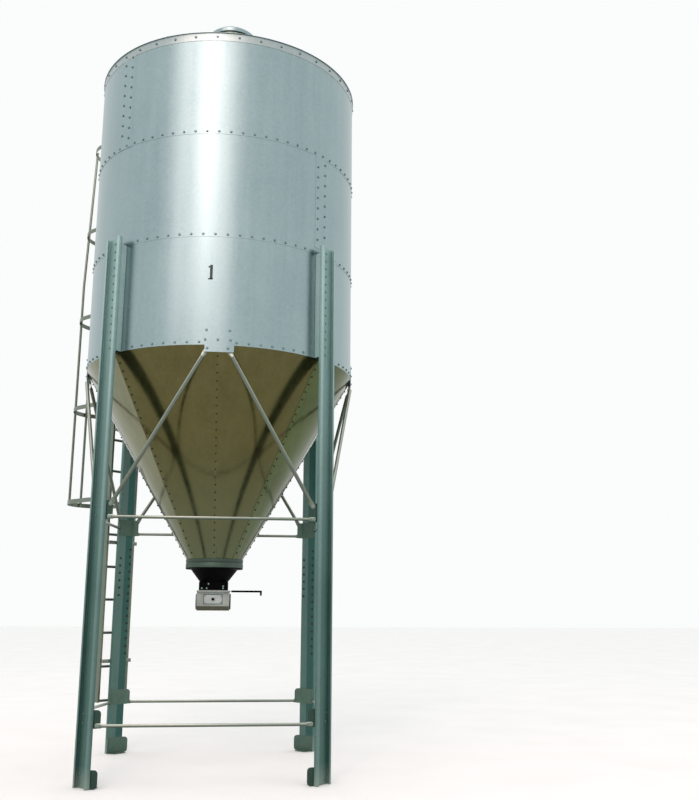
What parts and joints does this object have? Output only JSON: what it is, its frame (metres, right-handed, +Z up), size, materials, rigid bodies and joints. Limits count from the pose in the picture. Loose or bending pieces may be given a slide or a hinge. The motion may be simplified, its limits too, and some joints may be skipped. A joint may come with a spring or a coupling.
{
  "type": "galvanised steel hopper-bottom storage silo",
  "caption": "Upright round galvanised sheet silo with a cone hopper on braced channel legs, a conical roof with a filler neck, a caged ladder and a slide gate at the outlet.",
  "frame": {"origin": "at ground level, under the middle of the box that holds the tank and its ladder cage; the tank's own axis stands 170 mm toward +X and 170 mm toward -Y from it", "axes": "+Z up along the tank; -Y toward the front, the side seen in the picture; +X to its right, the way the slide gate is pulled"},
  "size_m": [2.9208, 2.9208, 7.437],
  "materials": {
    "galvanised_sheet": "bright galvanised sheet and channel, bluish grey",
    "dull_zinc_sheet": "dull galvanised sheet, dusty",
    "black_paint": "satin black",
    "grey_paint": "light grey"
  },
  "bodies": {
    "silo": {"wall_lower_left": "galvanised_sheet", "wall_lower_right": "galvanised_sheet", "wall_middle_left": "galvanised_sheet", "wall_middle_right": "galvanised_sheet", "wall_upper_left": "galvanised_sheet", "wall_upper_right": "galvanised_sheet", "eave_ring": "galvanised_sheet", "roof_cone": "galvanised_sheet", "fill_neck": "galvanised_sheet", "fill_lid": "galvanised_sheet", "leg_front_right": "galvanised_sheet", "leg_back_right": "galvanised_sheet", "leg_back_left": "galvanised_sheet", "leg_front_left": "galvanised_sheet", "spacer_front_right": "galvanised_sheet", "spacer_back_right": "galvanised_sheet", "spacer_back_left": "galvanised_sheet", "spacer_front_left": "galvanised_sheet", "gusset_front": "galvanised_sheet", "gusset_right": "galvanised_sheet", "gusset_back": "galvanised_sheet", "gusset_left": "galvanised_sheet", "brace_front_left": "galvanised_sheet", "brace_front_right": "galvanised_sheet", "brace_right_left": "galvanised_sheet", "brace_right_right": "galvanised_sheet", "brace_back_left": "galvanised_sheet", "brace_back_right": "galvanised_sheet", "brace_left_left": "galvanised_sheet", "brace_left_right": "galvanised_sheet", "tie_upper_front": "galvanised_sheet", "tie_lower_front": "galvanised_sheet", "tie_upper_right": "galvanised_sheet", "tie_lower_right": "galvanised_sheet", "tie_upper_back": "galvanised_sheet", "tie_lower_back": "galvanised_sheet", "tie_upper_left": "galvanised_sheet", "tie_lower_left": "galvanised_sheet", "ladder": "galvanised_sheet", "ladder_stay_1": "galvanised_sheet", "ladder_stay_2": "galvanised_sheet", "ladder_stay_3": "galvanised_sheet", "ladder_stay_4": "galvanised_sheet", "ladder_stay_5": "galvanised_sheet", "ladder_stay_6": "galvanised_sheet", "ladder_cage": "galvanised_sheet", "outlet_collar": "galvanised_sheet", "hopper_panel_1": "dull_zinc_sheet", "hopper_panel_2": "dull_zinc_sheet", "hopper_panel_3": "dull_zinc_sheet", "hopper_panel_4": "dull_zinc_sheet", "hopper_panel_5": "dull_zinc_sheet", "hopper_panel_6": "dull_zinc_sheet", "hopper_panel_7": "dull_zinc_sheet", "hopper_panel_8": "dull_zinc_sheet", "outlet_boot": "black_paint", "discharge_box": "grey_paint", "inspection_plate": "grey_paint"},
    "gate": {"slide_gate": "black_paint"}
  },
  "joints": [
    {"name": "gate_slide", "type": "slide", "parent": "silo", "child": "gate", "axis": [1, 0, 0], "range_m": [0, 0.24]}
  ]
}
